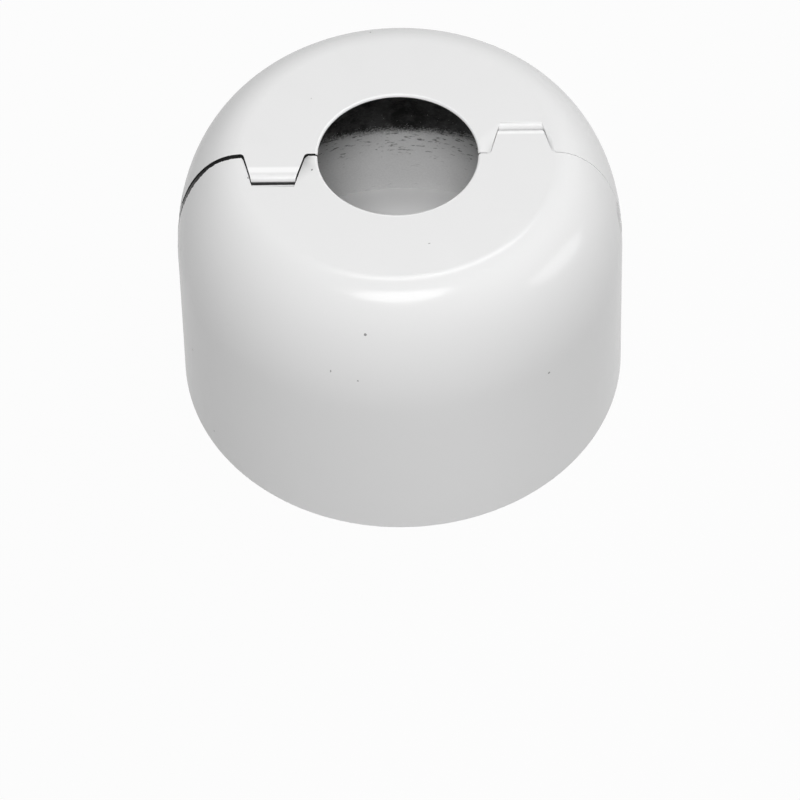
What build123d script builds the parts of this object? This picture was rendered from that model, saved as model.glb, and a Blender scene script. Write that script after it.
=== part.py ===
"""Split cup escutcheon for a sprinkler pipe.

Two like halves pressed from sheet steel. Each half has, at one end of its
seam, a hooked tab on the top plate and a slotted flange set inwards from the
wall, and at the other end a sunk pocket for the tab and two fingers for the
slots. The pipe runs along +Z through the hole, and the rim lies on z = 0.
"""

import os
from math import cos, degrees, radians, sin, tan

from build123d import *

# Overall sizes, in millimetres and degrees
sheet = 0.7
rim_diameter = 79.4
height = 52.3
pipe_hole_diameter = 27.0
wall_draft = 2.0
straight_wall = 30.8
shoulder_width = 12.4
shoulder_fullness = 0.56

# Seam between the two halves
seam_gap = 0.4
front_half_turn = 0.42

# Hooked tab on the top plate, and the pocket that takes it
tab_inner_margin = 2.1
tab_outer_margin = 0.2
tab_reach = 5.8
tab_side_angle = 15.0
tab_root_fillet = 0.7
tab_bend_radius = 1.1
tab_hook_depth = 1.6
pocket_mouth_radius = 1.9
pocket_side_clearance = 0.25
pocket_floor_clearance = 0.25
pocket_end_gap = 0.45
pocket_end_depth = 1.5

# Flange set inwards at the tab end of the wall
flange_reach = 6.8
flange_top = 40.0
flange_corner_radius = 2.0
joggle_length = 2.3
lap_clearance = 0.6
shear_gap = 0.4

# Fingers at the other end of the wall, and their slots in the joggle
finger_heights = (10.0, 30.0)
finger_width = 8.0
finger_root_width = 9.4
finger_root_length = 1.6
finger_reach = 10.5
finger_angle = 10.5
finger_clearance = 0.3
slot_end_clearance = 0.3
slot_side_clearance = 0.4
slot_past_seam = 1.4
slot_corner_radius = 0.6

# Values worked out from the sizes above
rim_radius = rim_diameter / 2
hole_radius = pipe_hole_diameter / 2
wall_slope = radians(wall_draft)
wall_top_radius = rim_radius - straight_wall * tan(wall_slope)
crown_radius = wall_top_radius - shoulder_width
tab_root_width = crown_radius - hole_radius - tab_inner_margin - tab_outer_margin
tab_centre = crown_radius - tab_outer_margin - tab_root_width / 2
side_slope = tan(radians(tab_side_angle))
flange_inset = sheet + lap_clearance
finger_inset = sheet + finger_clearance
flange_height = flange_top - shear_gap
hook_reach = tab_reach + pocket_end_gap
pocket_depth = tab_hook_depth + pocket_floor_clearance
slot_height = finger_root_width + 2 * slot_end_clearance
slot_width = joggle_length + slot_side_clearance + slot_past_seam
joggle_angle = degrees(joggle_length / rim_radius)
flange_angle = degrees(flange_reach / rim_radius)

# This half fills the -Y side of its seam, and the other half the +Y side
seam_y = -seam_gap / 2
seam_plane = Plane.XZ.offset(seam_gap / 2)
joggle_plane = seam_plane.rotated((0, 0, -joggle_angle))
seam_plan = Plane(origin=(0, seam_y, 0))
other_seam_plan = Plane(origin=(0, -seam_y, 0), x_dir=(-1, 0, 0))
towards_body = Axis((0, seam_y, 0), (0, 0, -1))
past_seam = Axis((0, seam_y, 0), (0, 0, 1))


def cup_face(inset: float) -> Sketch:
    """Half section of the filled cup, set inwards from its outside.

    The shoulder is one curve, tangent to the drafted wall and to the top plate.
    """
    wall_end = Vector(wall_top_radius - inset * cos(wall_slope), straight_wall - inset * sin(wall_slope))
    crown_end = Vector(crown_radius, height - inset)
    rise = shoulder_fullness * (crown_end.Y - wall_end.Y)
    run = shoulder_fullness * (wall_end.X - crown_end.X)
    wall_handle = wall_end + Vector(-rise * tan(wall_slope), rise)
    crown_handle = crown_end + Vector(run, 0)
    rim_point = (wall_end.X + wall_end.Y * tan(wall_slope), 0)
    with BuildSketch(mode=Mode.PRIVATE) as section:
        with BuildLine():
            Bezier(wall_end, wall_handle, crown_handle, crown_end)
            Polyline(crown_end, (0, height - inset), (0, 0), rim_point, wall_end)
        make_face()
    return section.sketch_local


def sheet_band(inset: float, low: float, high: float) -> Sketch:
    """Section of the sheet at an inset from the outside, between two heights."""
    with BuildSketch(mode=Mode.PRIVATE) as band:
        add(cup_face(inset))
        add(cup_face(inset + sheet), mode=Mode.SUBTRACT)
        with Locations((rim_radius, (low + high) / 2)):
            Rectangle(rim_radius, high - low, mode=Mode.INTERSECT)
    return band.sketch_local


def tab_plan(start: float, reach: float, grown: float) -> Sketch:
    """Plan of the tapered tab from start to reach past the seam, grown at its sides."""
    half_widths = [tab_root_width / 2 + grown - y * side_slope for y in (start, reach)]
    with BuildSketch(mode=Mode.PRIVATE) as plan:
        with BuildLine():
            Polyline(
                (tab_centre - half_widths[0], start),
                (tab_centre - half_widths[1], reach),
                (tab_centre + half_widths[1], reach),
                (tab_centre + half_widths[0], start),
                close=True,
            )
        make_face()
    return plan.sketch_local


def tab_plan_with_roots(reach: float, grown: float, root_radius: float) -> Sketch:
    """Plan of the tab with rounded roots, and a strip of plate along the seam."""
    strip_width = tab_root_width + 4 * root_radius
    with BuildSketch(mode=Mode.PRIVATE) as plan:
        add(tab_plan(0, reach, grown))
        with Locations((tab_centre, 0)):
            Rectangle(strip_width, root_radius, align=(Align.CENTER, Align.MAX))
        roots = plan.vertices().group_by(Axis.Y)[1].sort_by(Axis.X)[1:-1]
        fillet(roots, root_radius)
    return plan.sketch_local


def bent_edge(start: float, end: float, depth: float) -> Sketch:
    """Side view of plate that runs from start to end and is bent down there."""
    way = 1 if end > start else -1
    bend_start = end - way * tab_bend_radius
    with BuildSketch(mode=Mode.PRIVATE) as profile:
        with BuildLine():
            flat = Line((start, height), (bend_start, height))
            bend = TangentArc(flat @ 1, (end, height - tab_bend_radius), tangent=flat % 1)
            lip = Polyline(bend @ 1, (end, height - depth), (end - way * sheet, height - depth))
            inner_lip = Line(lip @ 1, (end - way * sheet, height - tab_bend_radius))
            inner_bend = TangentArc(
                inner_lip @ 1, (bend_start, height - sheet), tangent=inner_lip % 1
            )
            Polyline(inner_bend @ 1, (start, height - sheet), flat @ 0)
        make_face()
    return profile.sketch_local


def finger_outline(middle: float) -> Sketch:
    """Side view of a finger that reaches to -Y from the other half's edge."""
    half_root = finger_root_width / 2
    half_tongue = finger_width / 2
    root_y = -seam_y
    neck_y = root_y - finger_root_length
    round_y = root_y - finger_reach + half_tongue
    with BuildSketch(mode=Mode.PRIVATE) as outline:
        with BuildLine():
            upper = Line((round_y, middle + half_tongue), (neck_y, middle + half_tongue))
            flare = TangentArc(upper @ 1, (root_y, middle + half_root), tangent=upper % 1)
            lower = Line((neck_y, middle - half_tongue), (round_y, middle - half_tongue))
            lower_flare = TangentArc(lower @ 0, (root_y, middle - half_root), tangent=upper % 1)
            Line(flare @ 1, lower_flare @ 1)
            ThreePointArc(lower @ 1, (root_y - finger_reach, middle), upper @ 0)
        make_face()
    return outline.sketch_local


# Tab: plate past the seam, bent down at its tip and tapered in plan
with BuildPart() as tab:
    with BuildSketch(Plane.YZ):
        add(bent_edge(seam_y, seam_y + tab_reach, tab_hook_depth))
    extrude(amount=rim_radius)
    with BuildSketch(seam_plan):
        add(tab_plan_with_roots(tab_reach, 0, tab_root_fillet))
    extrude(amount=2 * height, mode=Mode.INTERSECT)

# Far edge of the pocket: plate bent down beside the slit
with BuildPart() as pocket_edge:
    with BuildSketch(Plane.YZ):
        far_edge = -seam_y - hook_reach
        add(bent_edge(far_edge - 2 * tab_bend_radius, far_edge, pocket_end_depth))
    extrude(amount=-rim_radius)
    with BuildSketch(other_seam_plan):
        add(tab_plan(0, hook_reach + 2 * tab_bend_radius, pocket_side_clearance))
    extrude(amount=2 * height, mode=Mode.INTERSECT)

# Fingers: joggled in from the other half's edge, with a straight tongue past it
finger_parts = []
for finger_middle in finger_heights:
    finger_low = finger_middle - finger_root_width / 2
    finger_high = finger_middle + finger_root_width / 2
    tongue_length = (finger_reach - joggle_length) / cos(radians(finger_angle))
    tongue_way = Vector(-sin(radians(finger_angle)), -cos(radians(finger_angle)), 0)
    with BuildPart() as finger:
        with BuildSketch(Plane.XZ.offset(seam_y)):
            add(sheet_band(0, finger_low, finger_high))
        with BuildSketch(Plane.XZ.offset(seam_y + joggle_length)) as tongue_section:
            with Locations((-finger_inset, 0)):
                add(sheet_band(0, finger_low, finger_high))
        loft(ruled=True)
        extrude(tongue_section.sketch, amount=tongue_length, dir=tongue_way)
        with BuildSketch(Plane.YZ):
            add(finger_outline(finger_middle))
        extrude(amount=2 * rim_radius, mode=Mode.INTERSECT)
    finger_parts.append(finger.part)

# Flange: joggled in at the wall's edge, slotted, and carried past the seam
with BuildPart() as flange:
    with BuildSketch(joggle_plane):
        add(sheet_band(0, 0, flange_height))
    with BuildSketch(seam_plane):
        add(sheet_band(flange_inset, 0, flange_height))
    loft(ruled=True)
    with BuildSketch(seam_plane):
        add(sheet_band(flange_inset, 0, flange_height))
    revolve(axis=past_seam, revolution_arc=2 * flange_angle)
    with BuildSketch(Plane.YZ) as flange_outline:
        with Locations((seam_y + flange_reach, flange_height)):
            Rectangle(rim_radius, 2 * flange_height, align=Align.MAX)
        fillet(flange_outline.vertices().group_by(Axis.Y)[-1].sort_by(Axis.X)[-1], flange_corner_radius)
    extrude(amount=2 * rim_radius, mode=Mode.INTERSECT)
    for slot_middle in finger_heights:
        with BuildSketch(Plane.YZ):
            with Locations((seam_y + slot_past_seam - slot_width / 2, slot_middle)):
                RectangleRounded(slot_width, slot_height, slot_corner_radius)
        extrude(amount=2 * rim_radius, mode=Mode.SUBTRACT)

# One pressed half, on the -Y side of the seam
with BuildPart() as half:
    # Cup wall, shoulder and top plate
    with BuildSketch(seam_plane):
        add(cup_face(0))
        add(cup_face(sheet), mode=Mode.SUBTRACT)
    revolve(axis=towards_body, revolution_arc=180)
    # Room for the joggle at the tab end
    with BuildSketch(seam_plane):
        with Locations((rim_radius, flange_top)):
            Rectangle(rim_radius, 2 * flange_top, align=(Align.CENTER, Align.MAX))
    revolve(axis=towards_body, revolution_arc=joggle_angle, mode=Mode.SUBTRACT)
    # Joggled flange
    add(flange.part)
    # Hooked tab
    add(tab.part)
    # Pocket pressed into the plate, open at the seam and slit at its far end
    with BuildSketch(other_seam_plan.offset(height - pocket_depth - sheet)):
        add(tab_plan(seam_gap, tab_reach, pocket_side_clearance + sheet))
    extrude(amount=pocket_depth)
    with BuildSketch(other_seam_plan.offset(height - sheet - pocket_floor_clearance)):
        add(tab_plan_with_roots(hook_reach + tab_bend_radius, pocket_side_clearance, pocket_mouth_radius))
    extrude(amount=height, mode=Mode.SUBTRACT)
    with BuildSketch(other_seam_plan.offset(height - pocket_depth)):
        add(tab_plan(0, tab_reach, pocket_side_clearance))
    extrude(amount=height, mode=Mode.SUBTRACT)
    add(pocket_edge.part)
    # Fingers
    for finger_part in finger_parts:
        add(finger_part.rotate(Axis.Z, 180))
    # Pipe hole
    with BuildSketch():
        Circle(hole_radius)
    extrude(amount=2 * height, mode=Mode.SUBTRACT)

# The two halves as they are put together round the pipe
with BuildPart() as rear_half:
    add(half.part.rotate(Axis.Z, 180))

with BuildPart() as front_half:
    add(half.part.rotate(Axis.Z, front_half_turn))

os.makedirs("parts", exist_ok=True)
rear_half.part.label = "rear_half"
export_step(rear_half.part, "parts/rear_half.step")
front_half.part.label = "front_half"
export_step(front_half.part, "parts/front_half.step")
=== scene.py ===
"""Looks of the split sprinkler escutcheon: two pressed sheet halves, white outside and bare inside."""

import logging
import math
from dataclasses import dataclass, field
from enum import Enum

import bmesh
import bpy
import numpy as np
from mathutils import Matrix, Vector


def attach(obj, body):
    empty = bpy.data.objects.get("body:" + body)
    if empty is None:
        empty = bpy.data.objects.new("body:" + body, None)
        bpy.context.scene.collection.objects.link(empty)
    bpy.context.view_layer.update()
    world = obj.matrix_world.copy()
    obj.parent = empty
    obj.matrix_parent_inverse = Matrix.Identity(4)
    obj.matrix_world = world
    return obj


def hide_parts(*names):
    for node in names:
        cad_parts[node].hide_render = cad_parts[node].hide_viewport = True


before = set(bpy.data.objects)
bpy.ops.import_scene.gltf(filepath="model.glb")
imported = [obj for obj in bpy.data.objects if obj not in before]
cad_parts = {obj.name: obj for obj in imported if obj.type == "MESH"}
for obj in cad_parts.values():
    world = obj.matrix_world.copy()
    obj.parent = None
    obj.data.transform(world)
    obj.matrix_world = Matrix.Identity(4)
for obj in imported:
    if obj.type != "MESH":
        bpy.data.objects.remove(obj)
LOG = logging.getLogger("escutcheon")
MM = 0.001

Socket = bpy.types.NodeSocket
Colour = tuple[float, float, float, float]
Pair = tuple[float, float]
Triple = tuple[float, float, float]


class Half(Enum):
    """The two like halves, named as their CAD nodes and bodies."""

    REAR = "rear_half"
    FRONT = "front_half"


class Side(Enum):
    """Where a face of the sheet lies; the value is its material's place on the mesh."""

    OUTSIDE = 0
    INSIDE = 1
    CUT_EDGE = 2


class End(Enum):
    """The two ends of a half; the value is the sign of its own x there."""

    TAB = 1
    POCKET = -1


@dataclass(frozen=True)
class Speckle:
    """A noise pattern: cells to the millimetre, octaves, and the weight of the finer ones."""

    scale: float
    detail: float = 2.0
    rough: float = 0.5


def grey(level: float) -> Colour:
    """A neutral colour in linear values."""
    return (level, level, level, 1.0)


class Nodes:
    """A small helper that adds nodes to one tree and feeds their inputs."""

    def __init__(self, tree: bpy.types.NodeTree) -> None:
        """Keeps the tree that is filled."""
        self.tree = tree

    def put(self, socket: Socket, value: object) -> None:
        """Links a socket or sets its constant.

        Args:
            socket: the input that is fed.
            value: another node's output, or a constant.
        """
        if isinstance(value, Socket):
            self.tree.links.new(value, socket)
        else:
            socket.default_value = value

    def add(self, kind: str, *fed: object, options: dict[str, object] | None = None,
            **named: object) -> bpy.types.Node:
        """Adds a node and feeds its inputs.

        Args:
            kind: the node's type.
            fed: values of its first inputs, in order.
            options: the node's own settings, made before its inputs are fed.
            named: values of inputs by name, with underscores for blanks.

        Returns:
            The node.
        """
        node = self.tree.nodes.new(kind)
        for name, value in (options or {}).items():
            setattr(node, name, value)
        for socket, value in zip(node.inputs, fed):
            self.put(socket, value)
        for name, value in named.items():
            self.put(node.inputs[name.replace("_", " ")], value)
        return node

    def math(self, kind: str, *operands: object) -> Socket:
        """The output of a Math node."""
        return self.add("ShaderNodeMath", *operands, options={"operation": kind}).outputs[0]

    def times(self, first: object, *others: object) -> Socket:
        """The product of two or more values."""
        for other in others:
            first = self.math("MULTIPLY", first, other)
        return first

    def most(self, first: object, *others: object) -> Socket:
        """The greatest of two or more values."""
        for other in others:
            first = self.math("MAXIMUM", first, other)
        return first

    def plus(self, a: object, b: object) -> Socket:
        """The sum of two values."""
        return self.math("ADD", a, b)

    def minus(self, a: object, b: object) -> Socket:
        """The first value less the second."""
        return self.math("SUBTRACT", a, b)

    def rest(self, share: object) -> Socket:
        """What a share leaves of one."""
        return self.minus(1.0, share)

    def above(self, value: object, limit: object) -> Socket:
        """One where the value is over the limit, else nought."""
        return self.math("GREATER_THAN", value, limit)

    def below(self, value: object, limit: object) -> Socket:
        """One where the value is under the limit, else nought."""
        return self.math("LESS_THAN", value, limit)

    def span(self, a: object, b: object) -> Socket:
        """The length of a step by a and b at right angles."""
        return self.math("SQRT", self.plus(self.times(a, a), self.times(b, b)))

    def swing(self, noise: Socket, width: float) -> Socket:
        """Noise about one half, made to swing about nought with the given width."""
        return self.times(self.minus(noise, 0.5), width)

    def ramp(self, value: object, start: float, end: float, low: float = 0.0, high: float = 1.0) -> Socket:
        """A smooth step from low to high as value goes from start to end.

        Args:
            value: the socket that drives it.
            start: where it leaves low.
            end: where it reaches high.
            low: value before start.
            high: value after end.

        Returns:
            The step's output.
        """
        node = self.add("ShaderNodeMapRange", options={"interpolation_type": "SMOOTHSTEP"}, Value=value,
                        From_Min=start, From_Max=end, To_Min=low, To_Max=high)
        return node.outputs[0]

    def edge(self, value: object, place: float, softness: float) -> Socket:
        """A smooth step from nought to one at a place.

        Args:
            value: the socket that drives it.
            place: the middle of the step.
            softness: half of the step's width; below nought, the step goes down.

        Returns:
            The step's output.
        """
        return self.ramp(value, place - softness, place + softness)

    def noise(self, place: Socket, speckle: Speckle) -> Socket:
        """Noise on a place vector.

        Args:
            place: the coordinates in millimetres.
            speckle: the noise's pattern.

        Returns:
            The noise's value.
        """
        node = self.add("ShaderNodeTexNoise", Vector=place, Scale=speckle.scale, Detail=speckle.detail,
                        Roughness=speckle.rough)
        return node.outputs[0]

    def blend(self, share: object, a: object, b: object) -> Socket:
        """Mixes two colours.

        Args:
            share: how much of b is taken.
            a: colour at share 0.
            b: colour at share 1.

        Returns:
            The mixed colour.
        """
        node = self.add("ShaderNodeMix", share, options={"data_type": "RGBA"})
        colours = [socket for socket in node.inputs if socket.type == "RGBA"]
        for socket, colour in zip(colours, (a, b)):
            self.put(socket, colour)
        return next(socket for socket in node.outputs if socket.type == "RGBA")


class MaterialNodes(Nodes):
    """The nodes of a new material, with nothing but its output."""

    def __init__(self, name: str) -> None:
        """Makes the material.

        Args:
            name: the material's name.
        """
        self.material = bpy.data.materials.new(name)
        self.material.use_nodes = True
        super().__init__(self.material.node_tree)
        self.tree.nodes.clear()
        self.surface = self.add("ShaderNodeOutputMaterial").inputs["Surface"]


class Coat(MaterialNodes):
    """A material with a Principled shader."""

    def __init__(self, name: str) -> None:
        """Makes the material and its shader.

        Args:
            name: the material's name.
        """
        super().__init__(name)
        self.shader = self.add("ShaderNodeBsdfPrincipled")
        self.put(self.surface, self.shader.outputs[0])

    def dress(self, **named: object) -> None:
        """Feeds the shader's inputs, named with underscores for blanks."""
        for name, value in named.items():
            self.put(self.shader.inputs[name.replace("_", " ")], value)

    def bump(self, height: Socket, distance: float, strength: float) -> None:
        """Feeds the shader's normal from a height.

        Args:
            height: the height socket.
            distance: depth of the relief in millimetres.
            strength: share of it that shows.
        """
        relief = self.add("ShaderNodeBump", Height=height, Distance=distance * MM, Strength=strength)
        self.dress(Normal=relief.outputs[0])


class SheetCoat(Coat):
    """A coat that knows the half's own place in millimetres: along the seam, past the seam, and height."""

    def __init__(self, name: str) -> None:
        """Makes the material and reads the stored coordinates.

        Args:
            name: the material's name.
        """
        super().__init__(name)
        self.place = self.stored(SheetHalf.PLACE).outputs["Vector"]
        self.along, self.past, self.height = self.add("ShaderNodeSeparateXYZ", self.place).outputs

    def stored(self, name: str) -> bpy.types.Node:
        """The node that reads an attribute of the mesh."""
        return self.add("ShaderNodeAttribute", options={"attribute_name": name})


@dataclass(frozen=True)
class WhitePaint:
    """Satin white paint on the outside, with bare steel where the halves lap, painted highlights on the
    hole's lip and the tabs' bends, and painted shade along one seam and on the hook in the slit; lengths in
    millimetres.
    """

    half: Half
    level: float = 0.81
    drift: float = 0.99
    roughness: float = 0.18
    shine: float = 0.5
    grain: Speckle = Speckle(1.6, 3.0, 0.6)
    fleck: Speckle = Speckle(4.0, 2.0, 0.7)
    broad: Speckle = Speckle(0.05)
    peel: Speckle = Speckle(0.8)
    peel_depth: float = 0.02
    peel_share: float = 0.25
    steel_level: float = 0.13
    steel_shades: Pair = (0.6, 1.5)
    steel_roughness: float = 0.5
    steel_metal: float = 0.6
    plate_from: float = 46.0
    ragged: float = 1.6
    flange_bare_from: float = 0.5
    flange_softness: float = 0.4
    finger_bare: Pair = (2.5, 3.9)
    stray_grains: Pair = (0.6, 0.66)
    stray_fade: float = 0.012
    stray_cover: float = 0.7
    pocket_paint: Pair = (0.62, 0.82)
    pocket_cover: float = 0.8
    tab_from: float = 3.0
    hook_bare_shaded_below: float = 51.6
    hook_softness: float = 0.12
    bend_highlight_level: float = 0.95
    bend_from: float = 4.4
    bend_to: float = 8.0
    bend_softness: float = 0.3
    lip_highlight_level: float = 0.89
    lip_radius: float = 13.8
    lip_softness: float = 0.1
    seam_shadow_width: float = 0.0
    seam_shadow_growth: float = 4.0
    seam_shadow_level: float = 0.02
    seam_shadow_shine: float = 0.04
    seam_shadow_start: Pair = (15.5, 17.0)
    seam_shadow_shoulder: Pair = (30.0, 37.5)
    seam_shadow_noise: Pair = (0.2, 0.6)
    seam_shadow_uneven: Pair = (0.7, 1.15)

    def build(self) -> bpy.types.Material:
        """Lays out the paint.

        Returns:
            The material.
        """
        s = SheetCoat(f"white_paint_{self.half.value}")
        grain, fleck = s.noise(s.place, self.grain), s.noise(s.place, self.fleck)
        # Bare steel of the laps, the pocket and the hook; on the hook it is also painted shade in the slit.
        bare = s.most(self.bare_laps(s, grain, fleck), self.bare_pocket(s, grain, fleck), self.bare_and_shaded_hook(s))
        steel = s.blend(grain, *(grey(self.steel_level * shade) for shade in self.steel_shades))
        tone = self.tone(s)
        # A near-black strip along one seam is painted shade that widens the dark line of the gap.
        if self.seam_shadow_width:
            seam_shaded = self.seam_shadow(s, grain)
            tone = s.blend(seam_shaded, tone, grey(self.seam_shadow_level))
            s.dress(Specular_IOR_Level=s.ramp(seam_shaded, 0.0, 1.0, self.shine, self.seam_shadow_shine))
        else:
            s.dress(Specular_IOR_Level=self.shine)
        s.dress(Base_Color=s.blend(bare, tone, steel), Metallic=s.times(bare, self.steel_metal),
                Roughness=s.ramp(bare, 0.0, 1.0, self.roughness, self.steel_roughness))
        s.bump(s.noise(s.place, self.peel), self.peel_depth, self.peel_share)
        return s.material

    def bare_laps(self, s: SheetCoat, grain: Socket, fleck: Socket) -> Socket:
        """The bare ends of flange and fingers, behind a ragged edge of paint.

        Args:
            s: the coat's nodes.
            grain: the coarser noise.
            fleck: the finer noise, for stray grains of paint.

        Returns:
            How bare the steel is.
        """
        ragged = s.plus(s.past, s.swing(grain, self.ragged))
        at_tab_end = s.above(s.along, 0.0)
        flange = s.times(s.edge(ragged, self.flange_bare_from, self.flange_softness), at_tab_end)
        finger = s.times(s.ramp(ragged, *self.finger_bare), s.rest(at_tab_end))
        stray = s.ramp(s.minus(fleck, s.times(s.past, self.stray_fade)), *self.stray_grains)
        on_wall = s.below(s.height, self.plate_from)
        return s.times(s.most(flange, finger), on_wall, s.rest(s.times(stray, self.stray_cover)))

    def bare_pocket(self, s: SheetCoat, grain: Socket, fleck: Socket) -> Socket:
        """The scraped floor of the pocket.

        Args:
            s: the coat's nodes.
            grain: the coarser noise.
            fleck: the finer noise.

        Returns:
            How bare the steel is.
        """
        paint_left = s.ramp(s.plus(fleck, s.times(grain, 0.5)), *self.pocket_paint)
        floor = s.stored(SheetHalf.SUNK).outputs["Fac"]
        return s.times(floor, s.rest(s.times(paint_left, self.pocket_cover)))

    def bare_and_shaded_hook(self, s: SheetCoat) -> Socket:
        """The lower part of the tab's hook, bare where the paint does not reach and kept dark as painted
        shade in the slit.

        Args:
            s: the coat's nodes.

        Returns:
            How bare the steel is.
        """
        on_tab = s.times(s.above(s.past, self.tab_from), s.above(s.height, self.plate_from))
        return s.times(s.edge(s.height, self.hook_bare_shaded_below, -self.hook_softness), on_tab)

    def tone(self, s: SheetCoat) -> Socket:
        """The paint's colour, with painted highlights: lighter bands on the hole's lip and the tab's bend.

        Args:
            s: the coat's nodes.

        Returns:
            The colour.
        """
        even = s.blend(s.noise(s.place, self.broad), grey(self.level * self.drift), grey(self.level))
        # The lighter bands on the hole's lip and the tab's bend are painted highlights.
        lip = s.edge(s.span(s.along, s.past), self.lip_radius, -self.lip_softness)
        bend = s.times(s.edge(s.past, self.bend_from, self.bend_softness), s.above(s.height, self.plate_from),
                       s.edge(s.past, self.bend_to, -self.bend_softness))
        return s.blend(bend, s.blend(lip, even, grey(self.lip_highlight_level)), grey(self.bend_highlight_level))

    def seam_shadow(self, s: SheetCoat, grain: Socket) -> Socket:
        """Painted shade along the pocket end's seam, a near-black strip that widens down the shoulder.

        Args:
            s: the coat's nodes.
            grain: the noise that makes the strip uneven.

        Returns:
            One where the seam's shade is painted.
        """
        outwards = s.times(s.along, End.POCKET.value)
        outer = s.ramp(outwards, *self.seam_shadow_start)
        width = s.ramp(outwards, *self.seam_shadow_shoulder, self.seam_shadow_width, self.seam_shadow_width * self.seam_shadow_growth)
        uneven = s.ramp(grain, *self.seam_shadow_noise, *self.seam_shadow_uneven)
        return s.times(s.above(s.plus(s.past, s.times(width, outer, uneven)), 0.0), outer)


@dataclass(frozen=True)
class BareInside:
    """Bare galvanised steel inside, kept near black partly as painted shade for the unlit upper inside, with
    paint dust that thickens towards the rim; lengths in millimetres.
    """

    coarse: Speckle = Speckle(0.35, 3.0, 0.6)
    fine: Speckle = Speckle(2.6, 3.0, 0.7)
    shine: float = 0.06
    steel_and_shade_levels: Pair = (0.02, 0.085)
    steel_mottle: Pair = (0.5, 0.9)
    steel_roughness: float = 0.3
    steel_metal: float = 0.9
    metal_end: float = 0.6
    dust_levels: Pair = (0.728, 0.91)
    dust_roughness: float = 0.65
    dust_heights: Pair = (19.2, 14.6)
    dust_cover: Pair = (0.15, 0.95)
    speck_widths: Pair = (2.4, 0.7)
    speck_dust: Pair = (1.0, 0.35)
    speck_shares: Pair = (0.12, 0.5)
    shade_width: float = 1.1
    shade_heights: Pair = (10.0, 2.0)
    shades: Pair = (0.55, 0.05)
    pit: Speckle = Speckle(1.3, 3.0, 0.6)
    pit_stretch: Triple = (0.45, 0.45, 1.6)
    pit_level: float = 0.2
    pit_edge: Pair = (0.585, 0.67)
    pit_heights: Pair = (5.0, 15.0)
    pit_shares: Pair = (0.2, 0.9)
    crowd_heights: Pair = (6.0, 18.5)
    crowding: Pair = (-0.05, 0.035)
    relief_depth: float = 0.05
    relief_share: float = 0.4
    pit_depth: float = 0.8
    band_width: float = 6.6
    band_top: float = 40.0
    band_softness: float = 0.15
    mark_heights: Pair = (10.0, 30.0)
    mark_half_width: float = 4.0
    mark_straight: float = 5.2
    mark_softness: float = 0.2

    def build(self) -> bpy.types.Material:
        """Lays out the inside.

        Returns:
            The material.
        """
        s = SheetCoat("bare_steel_inside")
        coarse, fine = s.noise(s.place, self.coarse), s.noise(s.place, self.fine)
        dusted = s.times(self.dusted(s, coarse, fine), s.rest(self.masked(s)))
        mottle = s.ramp(s.plus(coarse, s.times(fine, 0.4)), *self.steel_mottle)
        # The very dark steel is partly painted shade: the upper inside gets little light.
        steel = s.blend(mottle, *(grey(level) for level in self.steel_and_shade_levels))
        pits = self.pits(s)
        # The dust is drawn darker towards the foot of the wall, as painted shade.
        shade = s.plus(s.swing(fine, self.shade_width), s.ramp(s.height, *self.shade_heights, *self.shades))
        powder = s.blend(shade, *(grey(level) for level in self.dust_levels))
        s.dress(Base_Color=s.blend(dusted, steel, s.blend(pits, powder, grey(self.pit_level))),
                Metallic=s.ramp(dusted, 0.0, self.metal_end, self.steel_metal, 0.0),
                Roughness=s.ramp(dusted, 0.0, 1.0, self.steel_roughness, self.dust_roughness),
                Specular_IOR_Level=self.shine)
        s.bump(s.minus(fine, s.times(pits, self.pit_depth)), self.relief_depth, self.relief_share)
        return s.material

    def dusted(self, s: SheetCoat, coarse: Socket, fine: Socket) -> Socket:
        """The paint dust, with a speckled upper edge; the dark steel above that edge is partly painted shade.

        Args:
            s: the coat's nodes.
            coarse: the coarser noise.
            fine: the finer noise.

        Returns:
            How thick the dust lies.
        """
        level = s.ramp(s.height, *self.dust_heights)
        speck = s.plus(*(s.swing(noise, width) for noise, width in zip((fine, coarse), self.speck_widths)))
        share = s.ramp(level, *self.speck_dust, *self.speck_shares)
        return s.ramp(s.plus(level, s.times(speck, share)), *self.dust_cover)

    def masked(self, s: SheetCoat) -> Socket:
        """Where the other half kept the dust off: a band behind its flange, and the marks of its fingers.

        Args:
            s: the coat's nodes.

        Returns:
            One where there is no dust.
        """
        at_tab_end = s.above(s.along, 0.0)
        masked = s.times(s.edge(s.past, -self.band_width, self.band_softness), s.below(s.along, 0.0),
                         s.edge(s.height, self.band_top, -self.mark_softness))
        beyond = s.most(s.minus(s.times(s.past, -1.0), self.mark_straight), 0.0)
        for middle in self.mark_heights:
            reach = s.span(beyond, s.minus(s.height, middle))
            mark = s.edge(reach, self.mark_half_width, -self.mark_softness)
            masked = s.most(masked, s.times(mark, at_tab_end))
        return masked

    def pits(self, s: SheetCoat) -> Socket:
        """Dark pits in the dust, drawn out along the wall and thicker near its upper edge.

        Args:
            s: the coat's nodes.

        Returns:
            How dark the pit is.
        """
        drawn = s.add("ShaderNodeVectorMath", s.place, self.pit_stretch, options={"operation": "MULTIPLY"})
        crowd = s.ramp(s.height, *self.crowd_heights, *self.crowding)
        ground = s.plus(s.noise(drawn.outputs[0], self.pit), crowd)
        return s.times(s.ramp(ground, *self.pit_edge), s.ramp(s.height, *self.pit_heights, *self.pit_shares))


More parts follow.
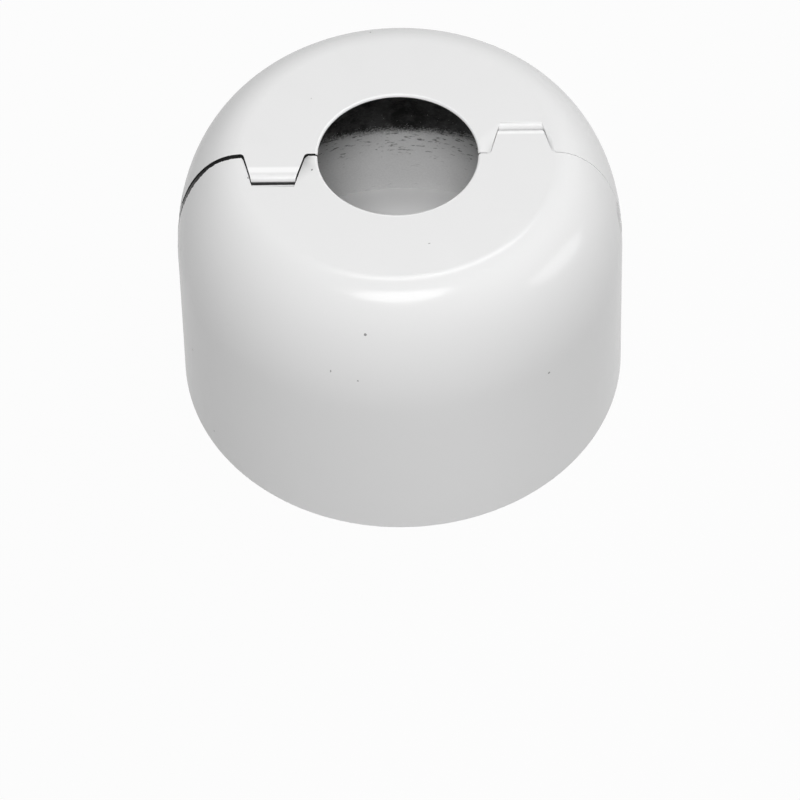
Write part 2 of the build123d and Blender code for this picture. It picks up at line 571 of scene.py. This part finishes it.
@dataclass(frozen=True)
class CutEdge:
    """Sheared sheet edges, with little paint left on them, kept near black partly as painted shade in the
    seam gap and the hole.
    """

    levels: Pair = (0.03, 0.012)
    wear: Speckle = Speckle(1.2, 3.0, 0.6)
    wear_edge: Pair = (0.5, 0.72)
    roughness: float = 0.5
    shine: float = 0.15

    def build(self) -> bpy.types.Material:
        """Lays out the edge.

        Returns:
            The material.
        """
        s = SheetCoat("sheared_edge")
        worn = s.ramp(s.noise(s.place, self.wear), *self.wear_edge)
        s.dress(Base_Color=s.blend(worn, *(grey(level) for level in self.levels)), Roughness=self.roughness,
                Specular_IOR_Level=self.shine)
        return s.material


@dataclass(frozen=True)
class DarkDust:
    """Dust caught in the wet paint."""

    level: float = 0.3
    roughness: float = 0.8

    def build(self) -> bpy.types.Material:
        """A plain matt grey.

        Returns:
            The material.
        """
        s = Coat("dark_dust")
        s.dress(Base_Color=grey(self.level), Roughness=self.roughness)
        return s.material


@dataclass(frozen=True)
class PaintGrain:
    """Dry overspray that drifted into the cup."""

    level: float = 0.5
    roughness: float = 0.7

    def build(self) -> bpy.types.Material:
        """A plain matt off-white.

        Returns:
            The material.
        """
        s = Coat("paint_grain")
        s.dress(Base_Color=grey(self.level), Roughness=self.roughness)
        return s.material


@dataclass
class SheetHalf:
    """One pressed half: CAD mesh merged, hole's edge rounded, sides told apart; lengths in millimetres."""

    PLACE = "own_place"
    SUNK = "sunk_floor"

    half: Half
    turn: float
    bare_shaded_end: End
    finishes: list[bpy.types.Material] = field(default_factory=list)
    seam_offset: float = 0.2
    crown_radius: float = 24.0
    rim_radius: float = 39.7
    straight_wall: float = 30.8
    plate_from: float = 49.5
    top: float = 52.3
    hole_radius: float = 13.5
    hole_rounding: float = 0.4
    hole_margin: float = 0.5
    pocket_depth: float = 1.5
    pocket_end: float = 26.6
    tab_from: float = 2.0
    seam_band: float = 8.0
    seam_reach: float = 0.3
    clear_facing: float = 0.45
    tip_facing: float = 0.3
    floor_facing: float = 0.5
    under_facing: float = -0.7
    sharp_angle: float = 26.0
    rounding_steps: int = 4
    ring_tolerance: float = 0.05
    level_tolerance: float = 0.001
    weld_distance: float = 0.002

    def build(self) -> bpy.types.Object:
        """Makes the shown mesh from the CAD node's mesh.

        Returns:
            The new object, at the origin.
        """
        mesh = bpy.data.meshes.new(f"{self.half.value}_sheet")
        bm = bmesh.new()
        bm.from_mesh(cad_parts[self.half.value].data)
        bmesh.ops.remove_doubles(bm, verts=bm.verts, dist=self.weld_distance * MM)
        bmesh.ops.dissolve_degenerate(bm, dist=self.weld_distance * MM / 2, edges=bm.edges)
        self.round_hole(bm)
        bm.to_mesh(mesh)
        bm.free()
        obj = bpy.data.objects.new(mesh.name, mesh)
        bpy.context.scene.collection.objects.link(obj)
        return obj

    def round_hole(self, bm: bmesh.types.BMesh) -> None:
        """Rounds the hole's upper edge, where the paint is thick.

        Args:
            bm: the half's mesh, changed in place.
        """
        bm.verts.index_update()
        ring = self.on_ring(np.array([vert.co for vert in bm.verts]), self.hole_radius)
        edges = [edge for edge in bm.edges if all(ring[vert.index] for vert in edge.verts)]
        bmesh.ops.bevel(bm, geom=edges, offset=self.hole_rounding * MM, segments=self.rounding_steps,
                        profile=0.5, affect="EDGES", clamp_overlap=False)

    def on_ring(self, points: np.ndarray, radius: float) -> np.ndarray:
        """Finds the corners on a ring round the hole, level with the top plate.

        Args:
            points: the corners in metres.
            radius: the ring's radius.

        Returns:
            True for each such corner.
        """
        from_axis = np.hypot(points[:, 0], points[:, 1]) / MM
        level = np.abs(points[:, 2] / MM - self.top) < self.level_tolerance
        return level & (np.abs(from_axis - radius) < self.ring_tolerance)

    def turned(self, vectors: np.ndarray) -> np.ndarray:
        """Turns vectors of the shared frame into the half's own directions.

        Args:
            vectors: one vector to a row.

        Returns:
            The turned vectors.
        """
        c, s = math.cos(-self.turn), math.sin(-self.turn)
        x, y, z = vectors.T
        return np.stack([c * x - s * y, s * x + c * y, z], -1)

    def own(self, points: np.ndarray) -> np.ndarray:
        """Points in metres as own millimetres: along the seam, past the seam, and height."""
        return self.turned(points / MM) + np.array([0.0, self.seam_offset, 0.0])

    def outward(self, place: np.ndarray) -> np.ndarray:
        """The direction out of the cup at each place.

        Args:
            place: places in the half's own frame.

        Returns:
            Unit vectors in the own frame.
        """
        radius = np.hypot(place[:, 0], place[:, 1])
        side = np.clip((radius - self.crown_radius) / (self.rim_radius - self.crown_radius), 0, 1)
        side = np.where(place[:, 2] < self.straight_wall, 1.0, side)
        rise = np.clip((place[:, 2] - self.straight_wall) / (self.top - self.straight_wall), 0, 1) ** 2
        out = np.stack([place[:, 0] / radius * side, place[:, 1] / radius * side, rise], -1)
        return out / np.linalg.norm(out, axis=1, keepdims=True)

    def face_sides(self, centres: np.ndarray, normals: np.ndarray) -> np.ndarray:
        """Tells on which side of the sheet each face lies.

        Args:
            centres: the faces' centres in the half's own frame.
            normals: the faces' normals in the half's own frame.

        Returns:
            The value of each face's Side.
        """
        facing = np.einsum("ij,ij->i", normals, self.outward(centres))
        sides = np.full(len(centres), Side.CUT_EDGE.value, np.int32)
        sides[facing > self.clear_facing] = Side.OUTSIDE.value
        sides[facing < -self.clear_facing] = Side.INSIDE.value
        on_top = centres[:, 2] > self.plate_from
        at_seam = (on_top & (centres[:, 1] > -self.seam_band)) | (np.abs(centres[:, 1]) < self.seam_reach)
        # At the bare shaded end the seam's cut edges stay near black, partly as painted shade in the gap; at
        # the other end they are painted.
        painted_end = centres[:, 0] * self.bare_shaded_end.value <= 0
        sides[at_seam & painted_end & (facing > -self.clear_facing)] = Side.OUTSIDE.value
        tab_tip = on_top & (centres[:, 1] > self.tab_from) & (normals[:, 1] > self.tip_facing)
        sides[tab_tip] = Side.OUTSIDE.value
        near_hole = np.hypot(centres[:, 0], centres[:, 1]) < self.hole_radius + self.hole_margin
        hole = on_top & near_hole & (normals[:, 2] > self.under_facing)
        rounded = centres[:, 2] > self.top - self.hole_rounding
        sides[hole & rounded] = Side.OUTSIDE.value
        # The hole's face below the rounding takes the near-black edge finish, partly as painted shade inside
        # the hole.
        sides[hole & ~rounded] = Side.CUT_EDGE.value
        return sides

    def sunk_floor(self, centres: np.ndarray, normals: np.ndarray) -> np.ndarray:
        """Finds the faces of the pocket's floor.

        Args:
            centres: the faces' centres in the half's own frame.
            normals: the faces' normals in the half's own frame.

        Returns:
            True for each such face.
        """
        depth = self.top - centres[:, 2]
        sunk = (depth > self.pocket_depth) & (centres[:, 2] > self.plate_from)
        sunk &= (normals[:, 2] > self.floor_facing) & (centres[:, 1] < self.seam_reach)
        sunk &= centres[:, 0] * End.POCKET.value > 0
        return sunk & (np.hypot(centres[:, 0], centres[:, 1]) < self.pocket_end)

    def smooth(self, mesh: bpy.types.Mesh, points: np.ndarray) -> None:
        """Shades the sheet smooth, with sharp bends and a sharp line round the hole's rounding.

        Args:
            mesh: the half's mesh.
            points: its corners in metres.
        """
        mesh.shade_smooth()
        mesh.set_sharp_from_angle(angle=math.radians(self.sharp_angle))
        ring = self.on_ring(points, self.hole_radius + self.hole_rounding)
        for edge in mesh.edges:
            if ring[edge.vertices[0]] and ring[edge.vertices[1]]:
                edge.use_edge_sharp = True

    def dress(self, obj: bpy.types.Object) -> None:
        """Sorts the faces by side, stores the half's own coordinates and hands the piece to the frame.

        Args:
            obj: the built half.
        """
        mesh = obj.data
        points = self.read(mesh.vertices, "co")
        stored = mesh.attributes.new(self.PLACE, "FLOAT_VECTOR", "POINT")
        stored.data.foreach_set("vector", self.own(points).astype(np.float32).ravel())
        centres = self.own(self.read(mesh.polygons, "center"))
        normals = self.turned(self.read(mesh.polygons, "normal"))
        floor = mesh.attributes.new(self.SUNK, "FLOAT", "FACE")
        floor.data.foreach_set("value", self.sunk_floor(centres, normals).astype(np.float32))
        sides = self.face_sides(centres, normals)
        for finish in self.finishes:
            mesh.materials.append(finish)
        mesh.polygons.foreach_set("material_index", sides)
        self.smooth(mesh, points)
        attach(obj, self.half.value)
        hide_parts(self.half.value)
        outside, inside = (int((sides == side.value).sum()) for side in (Side.OUTSIDE, Side.INSIDE))
        LOG.info("%s: %d faces, %d outside, %d inside", obj.name, len(sides), outside, inside)

    @staticmethod
    def read(items: bpy.types.bpy_prop_collection, name: str) -> np.ndarray:
        """Reads one vector from each item of a mesh.

        Args:
            items: the mesh's corners or faces.
            name: the vector's name.

        Returns:
            One vector to a row.
        """
        numbers = np.empty(len(items) * 3)
        items.foreach_get(name, numbers)
        return numbers.reshape(-1, 3)


@dataclass(frozen=True)
class Scatter:
    """Flat grains laid over one side of a half by a Geometry Nodes tree; sizes and heights in millimetres."""

    name: str
    finish: bpy.types.Material
    side: Side
    density: float
    smallest: float
    largest: float
    height_from: float
    full_to: float
    none_from: float
    flatness: float = 0.25
    thinning: float = 3.0
    seed: int = 11

    def settings(self) -> dict[str, float]:
        """The tree's named inputs, in metres where they are sizes of a grain.

        Returns:
            Names and values.
        """
        return {"Density": self.density, "Smallest": self.smallest * MM, "Largest": self.largest * MM,
                "Flatness": self.flatness, "Height From": self.height_from, "Full To": self.full_to,
                "None From": self.none_from, "Seed": self.seed}

    def tree(self) -> bpy.types.NodeTree:
        """Lays out the tree, with named inputs for its sizes.

        Returns:
            The node tree, whose inputs are in the order of settings().
        """
        tree = bpy.data.node_groups.new(self.name, "GeometryNodeTree")
        tree.interface.new_socket("Geometry", in_out="INPUT", socket_type="NodeSocketGeometry")
        for name in self.settings():
            kind = "NodeSocketInt" if name == "Seed" else "NodeSocketFloat"
            tree.interface.new_socket(name, in_out="INPUT", socket_type=kind)
        tree.interface.new_socket("Geometry", in_out="OUTPUT", socket_type="NodeSocketGeometry")
        n = Nodes(tree)
        given = n.add("NodeGroupInput").outputs
        points = self.points(n, given)
        grain = n.add("GeometryNodeMeshIcoSphere", Radius=1.0, Subdivisions=1)
        laid = n.add("GeometryNodeInstanceOnPoints", Points=points["Points"], Selection=self.kept(n, given),
                     Instance=grain.outputs["Mesh"], Rotation=points["Rotation"], Scale=self.sizes(n, given))
        real = n.add("GeometryNodeRealizeInstances", Geometry=laid.outputs[0])
        dressed = n.add("GeometryNodeSetMaterial", Geometry=real.outputs[0], Material=self.finish)
        n.add("NodeGroupOutput", Geometry=dressed.outputs[0])
        return tree

    def points(self, n: Nodes, given: bpy.types.NodeOutputs) -> bpy.types.NodeOutputs:
        """Strews points over the faces of the chosen side.

        Args:
            n: the tree's nodes.
            given: the tree's inputs.

        Returns:
            The outputs of the node that strews them.
        """
        same = n.add("FunctionNodeCompare", options={"data_type": "INT", "operation": "EQUAL"})
        laid_on, wanted = (socket for socket in same.inputs if socket.type == "INT")
        n.put(laid_on, n.add("GeometryNodeInputMaterialIndex").outputs[0])
        n.put(wanted, self.side.value)
        strewn = n.add("GeometryNodeDistributePointsOnFaces", Mesh=given["Geometry"],
                       Density=given["Density"], Seed=given["Seed"], Selection=same.outputs[0])
        return strewn.outputs

    def kept(self, n: Nodes, given: bpy.types.NodeOutputs) -> Socket:
        """Chooses the points that get a grain: all up to a height, then fewer and fewer.

        Args:
            n: the tree's nodes.
            given: the tree's inputs.

        Returns:
            One for each point that is kept.
        """
        place = n.add("GeometryNodeInputNamedAttribute", options={"data_type": "FLOAT_VECTOR"},
                      Name=SheetHalf.PLACE)
        height = n.add("ShaderNodeSeparateXYZ", place.outputs[0]).outputs[2]
        fades = n.add("ShaderNodeMapRange", Value=height, From_Min=given["Full To"],
                      From_Max=given["None From"], To_Min=1.0, To_Max=0.0).outputs[0]
        chance = n.add("FunctionNodeRandomValue", options={"data_type": "FLOAT"}, Seed=given["Seed"])
        lucky = n.below(chance.outputs[1], n.math("POWER", fades, self.thinning))
        return n.times(lucky, n.above(height, given["Height From"]))

    def sizes(self, n: Nodes, given: bpy.types.NodeOutputs) -> Socket:
        """Draws each grain's size, flat on the sheet.

        Args:
            n: the tree's nodes.
            given: the tree's inputs.

        Returns:
            The scale of each grain.
        """
        smallest, largest = (
            n.add("ShaderNodeCombineXYZ", size, size, n.times(size, given["Flatness"])).outputs[0]
            for size in (given["Smallest"], given["Largest"]))
        drawn = n.add("FunctionNodeRandomValue", smallest, largest, options={"data_type": "FLOAT_VECTOR"},
                      Seed=given["Seed"])
        return drawn.outputs[0]

    def lay(self, sheet: bpy.types.Object, half: Half) -> None:
        """Lays the grains on a half and hands them to the frame as one mesh.

        Args:
            sheet: the dressed half.
            half: which half it is.
        """
        bed = bpy.data.objects.new(f"{half.value}_{self.name}", sheet.data.copy())
        bpy.context.scene.collection.objects.link(bed)
        modifier = bed.modifiers.new(self.name, "NODES")
        modifier.node_group = self.tree()
        sockets = {item.name: item.identifier for item in modifier.node_group.interface.items_tree
                   if item.in_out == "INPUT"}
        for name, value in self.settings().items():
            modifier[sockets[name]] = value
        grains = bpy.data.meshes.new_from_object(bed.evaluated_get(bpy.context.evaluated_depsgraph_get()))
        bed.modifiers.clear()
        bare, bed.data = bed.data, grains
        grains.name = bed.name
        bpy.data.meshes.remove(bare)
        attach(bed, half.value)
        LOG.info("%s: %d faces", bed.name, len(grains.polygons))


@dataclass(frozen=True)
class Lamp:
    """One soft lamp, by its place in metres and its share of full light on a face turned to it."""

    name: str
    place: Triple
    share: float
    width: float
    depth: float
    mirrored: bool = False
    along: Triple = (1.0, 0.0, 0.0)

    def build(self) -> None:
        """Hangs the lamp, facing the object, with its width laid along the given direction."""
        data = bpy.data.lights.new(self.name, "AREA")
        data.shape = "ELLIPSE"
        data.size, data.size_y = self.width, self.depth
        way = Vector(self.place)
        data.energy = self.share * (math.pi * way.length) ** 2
        lamp = bpy.data.objects.new(self.name, data)
        bpy.context.scene.collection.objects.link(lamp)
        lamp.visible_glossy = self.mirrored
        back = way.normalized()
        up = back.cross(Vector(self.along)).normalized()
        turn = Matrix((up.cross(back), up, back)).transposed()
        lamp.matrix_world = Matrix.Translation(way) @ turn.to_4x4()


@dataclass
class Studio:
    """Pale floor, soft lamps, white surround and the camera; lengths in metres."""

    floor_half_width: float = 3.0
    floor_level: float = 0.43
    floor_glow: float = 0.955
    mirror_share: float = 0.6
    cover_distance: float = 0.08
    cover_samples: int = 16
    open_share: Pair = (0.12, 0.28)
    inside_level: float = 0.93
    foot_shadow_share: float = 0.66
    foot_shadow_radii: Pair = (0.028, 0.0385)
    middle_shadow_share: float = 0.1
    middle_shadow_radii: Pair = (0.019, 0.0255)
    ambient: float = 0.15
    lamps: tuple[Lamp, ...] = (
        Lamp("front_panel", (0.0, -0.55, 1.46), 0.24, 0.88, 0.62, True, (1.0, 0.18, 0.0)),
        Lamp("top_tube", (0.08, 0.68, 1.49), 0.075, 0.72, 0.28, True, (0.93, 0.36, -0.22)),
        Lamp("front_soft", (0.0, -1.0, 1.36), 0.53, 0.46, 0.22),
        Lamp("right_window", (1.35, -0.12, 0.26), 0.09, 0.95, 0.36, True, (0.03, 0.54, -0.28)),
        Lamp("right_back_soft", (0.95, 1.0, 0.85), 0.25, 1.0, 0.8),
    )
    lens: float = 128.154
    sensor_width: float = 36.0
    nearest: float = 0.01
    farthest: float = 20.0
    camera_place: Triple = (0.007843, -0.325141, 0.405916)
    camera_up: Triple = (0.007062, 0.791753, 0.610801)
    camera_back: Triple = (0.016186, -0.610827, 0.791599)

    def seen(self, n: Nodes) -> Socket:
        """How much of the white a ray sees.

        Args:
            n: the nodes of the tree that asks.

        Returns:
            1 for rays from the camera or through glass, less in mirrors, 0 for light on the object.
        """
        path = n.add("ShaderNodeLightPath").outputs
        mirror = n.times(path["Is Glossy Ray"], self.mirror_share)
        return n.most(path["Is Camera Ray"], path["Is Transmission Ray"], mirror)

    def covered_shadow_tone(self, n: Nodes) -> Socket:
        """The floor's tone under the cup, with painted shadow: darkest in the middle and at the foot of the
        wall.

        Args:
            n: the floor's nodes.

        Returns:
            The tone.
        """
        place = n.add("ShaderNodeTexCoord").outputs["Object"]
        from_axis = n.add("ShaderNodeVectorMath", place, options={"operation": "LENGTH"}).outputs["Value"]
        foot_shadow_level = self.inside_level * self.foot_shadow_share
        outer = n.ramp(from_axis, *self.foot_shadow_radii, self.inside_level, foot_shadow_level)
        return n.times(outer, n.ramp(from_axis, *self.middle_shadow_radii, self.middle_shadow_share, 1.0))

    def floor_finish(self) -> bpy.types.Material:
        """White to the camera where the floor lies open, matt for the shadow, with painted shadow under the
        cup, and clear from below.

        Returns:
            The material.
        """
        n = MaterialNodes("pale_floor")
        sky = n.add("ShaderNodeAmbientOcclusion", options={"samples": self.cover_samples},
                    Distance=self.cover_distance)
        lies_open = n.ramp(sky.outputs["AO"], *self.open_share)
        # Under the cup the floor's tone carries painted shadow.
        tone = n.plus(n.times(self.covered_shadow_tone(n), n.rest(lies_open)), n.times(lies_open, self.floor_level))
        matt = n.add("ShaderNodeBsdfDiffuse", Color=tone).outputs[0]
        glow = n.add("ShaderNodeEmission").outputs[0]
        clear = n.add("ShaderNodeBsdfTransparent").outputs[0]
        share = n.times(lies_open, self.floor_glow, self.seen(n))
        above = n.add("ShaderNodeMixShader", share, matt, glow).outputs[0]
        below = n.add("ShaderNodeNewGeometry").outputs["Backfacing"]
        n.put(n.surface, n.add("ShaderNodeMixShader", below, above, clear).outputs[0])
        return n.material

    def build_floor(self) -> None:
        """Lays the floor under the object."""
        mesh = bpy.data.meshes.new("floor")
        w = self.floor_half_width
        mesh.from_pydata([(-w, -w, 0), (w, -w, 0), (w, w, 0), (-w, w, 0)], [], [(0, 1, 2, 3)])
        mesh.materials.append(self.floor_finish())
        floor = bpy.data.objects.new("floor", mesh)
        bpy.context.scene.collection.objects.link(floor)

    def build_light(self) -> None:
        """Sets the world's even light and hangs the lamps."""
        world = bpy.data.worlds.new("surround")
        bpy.context.scene.world = world
        world.use_nodes = True
        n = Nodes(world.node_tree)
        n.tree.nodes.clear()
        even = n.add("ShaderNodeBackground", Color=grey(1.0), Strength=self.ambient).outputs[0]
        white = n.add("ShaderNodeBackground", Color=grey(1.0), Strength=1.0).outputs[0]
        mixed = n.add("ShaderNodeMixShader", self.seen(n), even, white).outputs[0]
        n.add("ShaderNodeOutputWorld", Surface=mixed)
        for lamp in self.lamps:
            lamp.build()

    def build_camera(self) -> None:
        """Places the camera of the photograph's view."""
        data = bpy.data.cameras.new("camera")
        data.lens = self.lens
        data.sensor_width = self.sensor_width
        data.clip_start = self.nearest
        data.clip_end = self.farthest
        camera = bpy.data.objects.new("camera", data)
        bpy.context.scene.collection.objects.link(camera)
        up, back = Vector(self.camera_up), Vector(self.camera_back)
        turn = Matrix((up.cross(back), up, back)).transposed()
        camera.matrix_world = Matrix.Translation(self.camera_place) @ turn.to_4x4()
        bpy.context.scene.camera = camera


def build_halves() -> tuple[SheetHalf, SheetHalf]:
    """The two halves with their finishes; the seam between the rear tab and the front pocket is the one with
    painted shade along it.

    Returns:
        The rear and the front half, not yet built.
    """
    inside, edge = BareInside().build(), CutEdge().build()
    rear_paint = WhitePaint(Half.REAR, bend_from=3.0, bend_to=4.2).build()
    front_paint = WhitePaint(Half.FRONT, flange_bare_from=2.4, seam_shadow_width=0.3).build()
    return (SheetHalf(Half.REAR, math.pi, End.TAB, [rear_paint, inside, edge]),
            SheetHalf(Half.FRONT, math.radians(0.42), End.POCKET, [front_paint, inside, edge]))


def build_scatters() -> tuple[Scatter, Scatter]:
    """The specks in the outer paint and the grains above the dust inside.

    Returns:
        The two scatters, not yet laid.
    """
    specks = Scatter("dust_specks", DarkDust().build(), Side.OUTSIDE, density=1500.0, smallest=0.06,
                     largest=0.3, height_from=0.0, full_to=60.0, none_from=60.1)
    grains = Scatter("paint_grains", PaintGrain().build(), Side.INSIDE, density=400000.0, smallest=0.04,
                     largest=0.11, height_from=17.5, full_to=18.5, none_from=27.0)
    return specks, grains


def main() -> None:
    """Builds the two halves with their grains, and the studio."""
    logging.basicConfig(level=logging.INFO)
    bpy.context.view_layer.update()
    halves, scatters = build_halves(), build_scatters()
    for sheet in halves:
        obj = sheet.build()
        sheet.dress(obj)
        for scatter in scatters:
            scatter.lay(obj, sheet.half)
    studio = Studio()
    studio.build_floor()
    studio.build_light()
    studio.build_camera()
    bpy.context.scene.view_settings.view_transform = "Standard"


if __name__ == "__main__":
    main()
